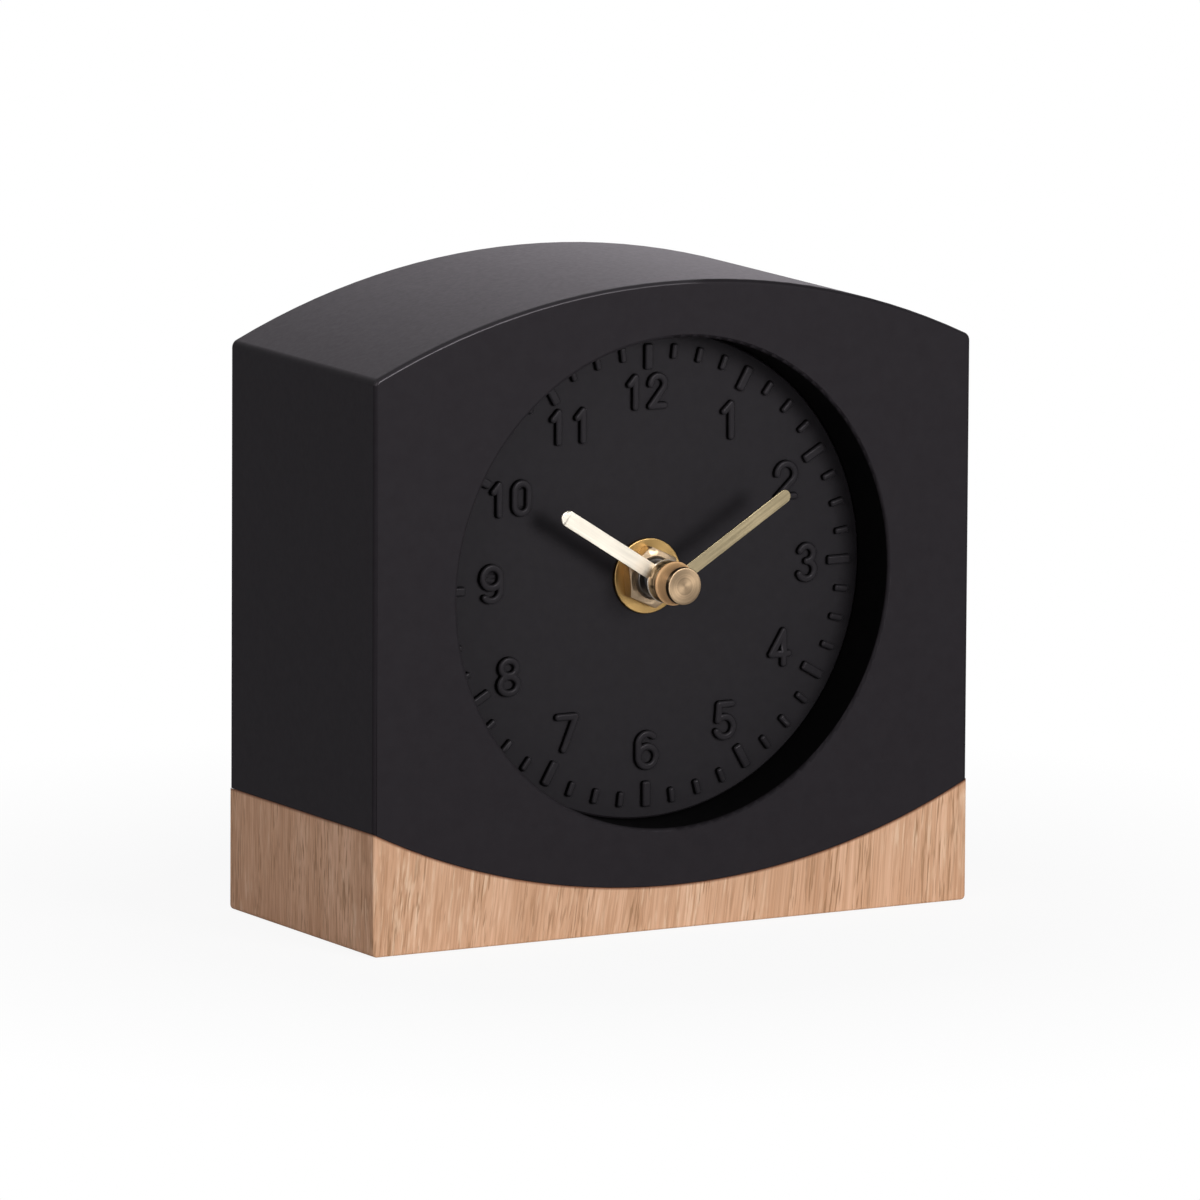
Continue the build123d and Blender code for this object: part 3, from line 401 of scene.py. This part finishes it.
bobbin_plastic = plastic("bobbin_plastic", (0.78, 0.74, 0.62), 0.38, tint=0.9)
board_green = plastic("board_green", (0.06, 0.20, 0.08), 0.35)
chip_black = plastic("chip_black", (0.02, 0.02, 0.02), 0.3)
rubber = plastic("black_rubber", (0.022, 0.022, 0.022), 0.75, 2600.0, 0.3)
foam = plastic("pad_foam", (0.030, 0.030, 0.030), 0.85, 3200.0, 0.5)
beech = plastic("dowel_beech", (0.66, 0.46, 0.27), 0.6)
cell_wrap = plastic("cell_wrap", (0.035, 0.10, 0.26), 0.28)


# Pieces that take their shape from the CAD nodes

def rank_faces(bm, flat_from):
    """Marks wide flat areas as strong and small facets as weak, so that shading bends on roundings only.

    Areas of at least flat_from stay flat and share no shading with their neighbours.
    """
    rank = bm.faces.layers.int.new("__mod_weightednormals_faceweight")
    bm.normal_update()
    done = set()
    for first in bm.faces:
        if first in done:
            continue
        done.add(first)
        patch = [first]
        for face in patch:
            for edge in face.edges:
                for other in edge.link_faces:
                    if other not in done and other.normal.dot(face.normal) > SAME_PLANE:
                        done.add(other)
                        patch.append(other)
        area = sum(face.calc_area() for face in patch)
        breadth = area / max(edge.calc_length() for face in patch for edge in face.edges)
        level = 0
        if area > WIDE_AREA and (len(patch) > 2 or breadth > WIDE_BREADTH):
            level = STRONG
        elif area < TINY_AREA:
            level = -STRONG
        for face in patch:
            face[rank] = level
            face.smooth = area < flat_from


def smooth_mesh(obj):
    """Sharp edges where the faces bend by more than the sharp angle, and even shading between them."""
    mesh = obj.data
    smooth = [face.use_smooth for face in mesh.polygons]
    mesh.set_sharp_from_angle(angle=math.radians(SHARP_ANGLE))
    mesh.polygons.foreach_set("use_smooth", smooth)
    normals = obj.modifiers.new("even_normals", "WEIGHTED_NORMAL")
    normals.keep_sharp = True
    normals.use_face_influence = True


def new_piece(name, bm, mat, body, flat_from=1.0):
    """A finished piece that rides with a body."""
    rank_faces(bm, flat_from)
    mesh = bpy.data.meshes.new(name)
    bm.to_mesh(mesh)
    bm.free()
    obj = bpy.data.objects.new(name, mesh)
    bpy.context.scene.collection.objects.link(obj)
    mesh.materials.append(mat)
    smooth_mesh(obj)
    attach(obj, body)
    return obj


def node_shape(node):
    """The welded shape of a CAD node."""
    bm = bmesh.new()
    bm.from_mesh(nodes[node].data)
    bm.transform(nodes[node].matrix_world)
    bmesh.ops.remove_doubles(bm, verts=bm.verts, dist=WELD_STEP)
    level_planes(bm)
    return bm


def level_planes(bm):
    """Puts corners that are a hair off a common plane back on it."""
    for axis in range(3):
        shared = Counter(round(vert.co[axis] / LEVEL_STEP) for vert in bm.verts)
        for vert in bm.verts:
            step = round(vert.co[axis] / LEVEL_STEP)
            off = abs(vert.co[axis] - step * LEVEL_STEP)
            if shared[step] > LEVEL_COUNT and off < LEVEL_SHARE * LEVEL_STEP:
                vert.co[axis] = step * LEVEL_STEP


def soften(bm, width, bend=40):
    """Rounds every edge that bends by more than the angle, in degrees."""
    bmesh.ops.dissolve_limit(bm, angle_limit=math.radians(FLAT_ANGLE), verts=bm.verts, edges=bm.edges)
    sharp = [e for e in bm.edges if len(e.link_faces) == 2 and e.calc_face_angle(0.0) > math.radians(bend)]
    bmesh.ops.bevel(
        bm, geom=sharp, offset=width, segments=2, profile=0.5, affect="EDGES",
        clamp_overlap=True, material=-1)


def refined(name, node, mat, round_by=0.0, flat_from=1.0):
    """A welded, smooth copy of a CAD node that stands for it."""
    bm = node_shape(node)
    if round_by:
        soften(bm, round_by)
    obj = new_piece(name, bm, mat, body_of_node[node], flat_from)
    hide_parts(node)
    return obj


def turned_cap():
    """The hand cap, spun from its outline, with the grooves that the turning tool leaves on its face.

    A point of the outline is a radius and a distance ahead of the dial, in millimetres.
    """
    face, groove_reach, groove_depth, grooves = 14.3, 3.2, 0.016, 33
    bore = [(0.0, 12.85), (1.15, 12.85), (1.15, 10.2)]
    flange = [(3.93, 10.2), (4.01, 10.22), (4.05, 10.3), (4.05, 10.52), (4.02, 10.6), (3.95, 10.64)]
    neck = [(3.82, 10.78), (3.66, 11.06), (3.52, 11.42), (3.4, 11.9), (3.3, 12.5), (3.23, 13.2)]
    button = [(3.38, 13.2), (3.45, 13.27), (3.45, 14.15), (3.42, 14.22), (3.37, 14.28), (3.3, face)]
    rings = [
        (groove_reach * (1 - step / grooves), face - groove_depth * (step % 2)) for step in range(1, grooves)]
    outline = bore + flange + neck + button + rings + [(0.0, face)]
    bm = bmesh.new()
    points = [bm.verts.new((radius * MM, (DIAL_Y - depth) * MM, DIAL_Z * MM)) for radius, depth in outline]
    lines = [bm.edges.new(pair) for pair in zip(points, points[1:])]
    bmesh.ops.spin(
        bm, geom=points + lines, cent=(0, 0, DIAL_Z * MM), axis=(0, 1, 0),
        angle=2 * math.pi, steps=96, use_merge=True)
    bmesh.ops.remove_doubles(bm, verts=bm.verts, dist=AXIS_WELD_STEP)
    bmesh.ops.recalc_face_normals(bm, faces=bm.faces)
    obj = new_piece("cap_button", bm, cap_brass, body_of_node["hand_cap"])
    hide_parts("hand_cap")
    return obj


def second_look(obj, mat, chosen):
    """Gives the faces that a test picks another material."""
    obj.data.materials.append(mat)
    index = len(obj.data.materials) - 1
    for face in obj.data.polygons:
        if chosen(face.center / MM, face.normal):
            face.material_index = index


def from_axis(spot):
    """Distance from the dial's axis, in millimetres."""
    return math.hypot(spot.x, spot.z - DIAL_Z)


def figure_top(spot, normal):
    """Faces of the raised numbers and strokes that look forward."""
    return spot.y < DIAL_Y - FIGURE_STEP and normal.y < -0.35


def figure_wall(spot, normal):
    """The sides of the raised numbers and strokes."""
    return spot.y < DIAL_Y - FIGURE_STEP and normal.y >= -0.35


def cap_neck(spot, normal):
    """The cap behind its button."""
    return spot.y > CAP_BUTTON_Y + FACE_STEP


def recess_wall(spot, normal):
    """The round wall in front of the dial."""
    return spot.y < DIAL_Y and from_axis(spot) < RECESS_RADIUS and abs(normal.y) < 0.05


def recess_rim(spot, normal):
    """The rounded edge of the recess."""
    return spot.y < DIAL_Y and from_axis(spot) < RECESS_RADIUS + RIM_WIDTH and -0.97 < normal.y <= -0.05


def arch_edge(spot, normal):
    """The rounded front edge under the arch, where it catches the light."""
    outside = spot.y < DIAL_Y and from_axis(spot) > RECESS_RADIUS + ARCH_FROM_RECESS
    return outside and spot.x < ARCH_LIGHT_END and normal.z > 0.08 and -0.995 < normal.y < -0.2


def dial_rim(spot, normal):
    """The rounded edge of the dial."""
    return from_axis(spot) > RECESS_RADIUS - DIAL_RIM_WIDTH and -0.9 < normal.y < -0.5


case_shell = refined("case_shell", "case_body", black, flat_from=PANEL_AREA)
# The round recess wall gets the painted shade black
second_look(case_shell, painted_shade_black, recess_wall)
second_look(case_shell, soft_rim, recess_rim)
second_look(case_shell, rim_black, arch_edge)
refined("oak_foot", "oak_base", oak, flat_from=PANEL_AREA)
dial_face = refined("dial_face", "dial_plate", dial_black, flat_from=PANEL_AREA)
second_look(dial_face, figure_black, figure_top)
# The sides of the raised figures get the painted shade black, as dark outlines of shade
second_look(dial_face, painted_shade_black, figure_wall)
second_look(dial_face, rim_black, dial_rim)
refined("washer_ring", "dial_washer", washer_brass, round_by=0.00008)
refined("hex_nut", "dial_nut", nut_brass)
refined("bush_sleeve", "threaded_bush", bush_metal)
hour_blade = refined("hour_blade", "hour_hand", hour_brass)
second_look(hour_blade, collet_brass, lambda spot, normal: spot.y < HOUR_BLADE_Y - FACE_STEP)
refined("minute_blade", "minute_hand", minute_brass, round_by=0.00007)
cap_button = turned_cap()
# The neck behind the button gets the lighter brass with the painted reflection
second_look(cap_button, neck_painted_reflection, cap_neck)
refined("hour_pipe", "hour_wheel", pipe_plastic)
refined("knob", "set_knob", knob_plastic, round_by=0.00008)
refined("movement_case", "movement_housing", housing_plastic)
refined("movement_back", "movement_lid", housing_plastic, round_by=0.00015)
cell = refined("cell", "battery_cell", cell_wrap)
cell_ends = [pick(vert.co.x for vert in cell.data.vertices) / MM for pick in (min, max)]
second_look(cell, nickel, lambda spot, normal: not cell_ends[0] + CELL_END < spot.x < cell_ends[1] - CELL_END)
refined("foot_pad", "non_slip_pad", foam)

plain_looks = {
    "base_dowels": beech, "base_screws": steel, "rubber_gasket": rubber, "minute_arbor": steel,
    "centre_wheel": wheel_plastic, "minute_wheel": wheel_plastic, "set_arbor": wheel_plastic,
    "third_wheel": wheel_plastic, "second_wheel": wheel_plastic, "intermediate_wheel": wheel_plastic,
    "rotor_pinion": wheel_plastic, "rotor_magnet": ferrite, "stator_plate": steel, "coil_core": steel,
    "coil_bobbin": bobbin_plastic, "coil_winding": copper, "circuit_board": board_green,
    "quartz_crystal": nickel, "control_chip": chip_black, "battery_contact_plus": nickel,
    "battery_contact_minus": nickel,
}
for node, look in plain_looks.items():
    refined(node + "_piece", node, look)


# Floor, background, lights and camera

def floor():
    """A pale floor that glows white for the camera and keeps the clock's shadow near it."""
    bm = bmesh.new()
    bmesh.ops.create_grid(bm, x_segments=1, y_segments=1, size=FLOOR_REACH)
    mesh = bpy.data.meshes.new("floor")
    bm.to_mesh(mesh)
    bm.free()
    obj = bpy.data.objects.new("floor", mesh)
    bpy.context.scene.collection.objects.link(obj)
    made = bpy.data.materials.new("pale_floor")
    made.use_nodes = True
    tree = made.node_tree
    tree.nodes.clear()
    out = tree.nodes.new("ShaderNodeOutputMaterial")
    shade = tree.nodes.new("ShaderNodeBsdfDiffuse")
    shade.inputs["Color"].default_value = (0.92, 0.92, 0.92, 1.0)
    glow = tree.nodes.new("ShaderNodeEmission")
    glow.inputs["Color"].default_value = (*WHITE, 1.0)
    glow.inputs["Strength"].default_value = 1.0
    path = tree.nodes.new("ShaderNodeLightPath").outputs
    away = tree.nodes.new("ShaderNodeVectorMath")
    away.operation = "LENGTH"
    tree.links.new(tree.nodes.new("ShaderNodeTexCoord").outputs["Object"], away.inputs[0])
    near = spread(tree, away.outputs["Value"], SHADOW_GLOW, 1.0, SHADOW_START, SHADOW_END)
    mix = tree.nodes.new("ShaderNodeMixShader")
    tree.links.new(sums(tree, "MULTIPLY", camera_share(tree, path), near), mix.inputs["Fac"])
    tree.links.new(shade.outputs[0], mix.inputs[1])
    tree.links.new(glow.outputs[0], mix.inputs[2])
    tree.links.new(mix.outputs[0], out.inputs["Surface"])
    mesh.materials.append(made)


def world():
    """Even fill light, with a white background for the camera and, in part, for reflections."""
    made = bpy.data.worlds.new("studio")
    bpy.context.scene.world = made
    made.use_nodes = True
    tree = made.node_tree
    tree.nodes.clear()
    out = tree.nodes.new("ShaderNodeOutputWorld")
    seen = tree.nodes.new("ShaderNodeBackground")
    seen.inputs["Color"].default_value = (*WHITE, 1.0)
    seen.inputs["Strength"].default_value = 1.0
    fill = tree.nodes.new("ShaderNodeBackground")
    fill.inputs["Color"].default_value = (0.95, 0.97, 1.0, 1.0)
    fill.inputs["Strength"].default_value = FILL_STRENGTH
    path = tree.nodes.new("ShaderNodeLightPath").outputs
    mirrored = sums(tree, "MULTIPLY", path["Is Glossy Ray"], MIRRORED_SHARE)
    mix = tree.nodes.new("ShaderNodeMixShader")
    tree.links.new(sums(tree, "MAXIMUM", camera_share(tree, path), mirrored), mix.inputs["Fac"])
    tree.links.new(fill.outputs[0], mix.inputs[1])
    tree.links.new(seen.outputs[0], mix.inputs[2])
    tree.links.new(mix.outputs[0], out.inputs["Surface"])


def area_light(name, spot, size, power, colour=WHITE, aim=(0.0, 0.0, 0.06)):
    """A flat lamp at a spot, turned towards the clock."""
    data = bpy.data.lights.new(name, "AREA")
    data.shape = "RECTANGLE"
    data.size = size[0]
    data.size_y = size[1]
    data.energy = power
    data.color = colour
    obj = bpy.data.objects.new(name, data)
    bpy.context.scene.collection.objects.link(obj)
    obj.location = spot
    heading = Vector(aim) - Vector(spot)
    obj.rotation_euler = heading.to_track_quat("-Z", "Y").to_euler()


floor()
world()
area_light("key_front", (0.37, -1.30, 0.34), (0.45, 0.45), 12.2)
area_light("left_fill", (-1.15, -0.85, 0.5), (0.8, 0.8), 4.7, (1.0, 0.935, 0.975))
area_light("back_soft", (0.62, 1.05, 0.48), (1.8, 0.7), 5.1, (1.0, 0.90, 1.0))

camera_spot = Vector((-1.3533, -2.3796, 0.5109))
camera_roll = math.radians(0.335)
camera_data = bpy.data.cameras.new("camera")
camera_data.lens = 452.4
camera_data.sensor_width = 36.0
camera_data.clip_end = 50.0
camera = bpy.data.objects.new("camera", camera_data)
bpy.context.scene.collection.objects.link(camera)
view_dir = Vector((0.48769, 0.85756, -0.16353)).normalized()
level_right = view_dir.cross(Vector((0, 0, 1))).normalized()
level_up = level_right.cross(view_dir)
right = level_right * math.cos(camera_roll) + level_up * math.sin(camera_roll)
up = level_up * math.cos(camera_roll) - level_right * math.sin(camera_roll)
turn = Matrix((right, up, -view_dir)).transposed().to_4x4()
camera.matrix_world = Matrix.Translation(camera_spot) @ turn
bpy.context.scene.camera = camera
bpy.context.scene.view_settings.view_transform = "Standard"
